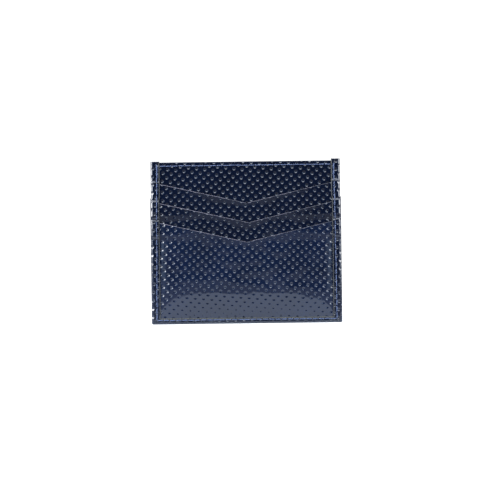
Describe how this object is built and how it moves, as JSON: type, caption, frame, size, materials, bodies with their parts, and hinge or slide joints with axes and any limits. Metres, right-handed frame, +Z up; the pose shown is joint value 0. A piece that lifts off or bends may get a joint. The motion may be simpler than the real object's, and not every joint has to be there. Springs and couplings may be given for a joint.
{
  "type": "card holder",
  "caption": "Flat leather card holder with V-mouthed front card pockets and an open-topped main pocket, bound and stitched round its sides and bottom.",
  "frame": {"origin": "middle of the bottom edge, in the middle of the thickness", "axes": "+Z up towards the open mouth, -Y out of the front with the card pockets, +X to the right seen from the front"},
  "size_m": [0.1, 0.0092, 0.0856],
  "materials": {
    "panel_leather": "glossy navy patent leather, embossed with round dimples",
    "binding_leather": "glossy navy patent leather strip with a tan raw edge",
    "lining": "dark navy woven lining, matte",
    "board": "pressed fibre board, matte",
    "thread": "steel-blue polyester sewing thread"
  },
  "bodies": {
    "root": {"back_panel": "panel_leather", "back_stiffener": "board", "back_lining": "lining", "front_lining": "lining", "front_stiffener": "board", "front_panel": "panel_leather", "upper_pocket": "panel_leather", "middle_pocket": "panel_leather", "lower_pocket": "panel_leather", "left_binding": "binding_leather", "right_binding": "binding_leather", "bottom_binding": "binding_leather", "edge_stitching": "thread", "front_top_stitching": "thread", "back_top_stitching": "thread", "upper_foot_stitching": "thread", "middle_foot_stitching": "thread"}
  },
  "joints": []
}
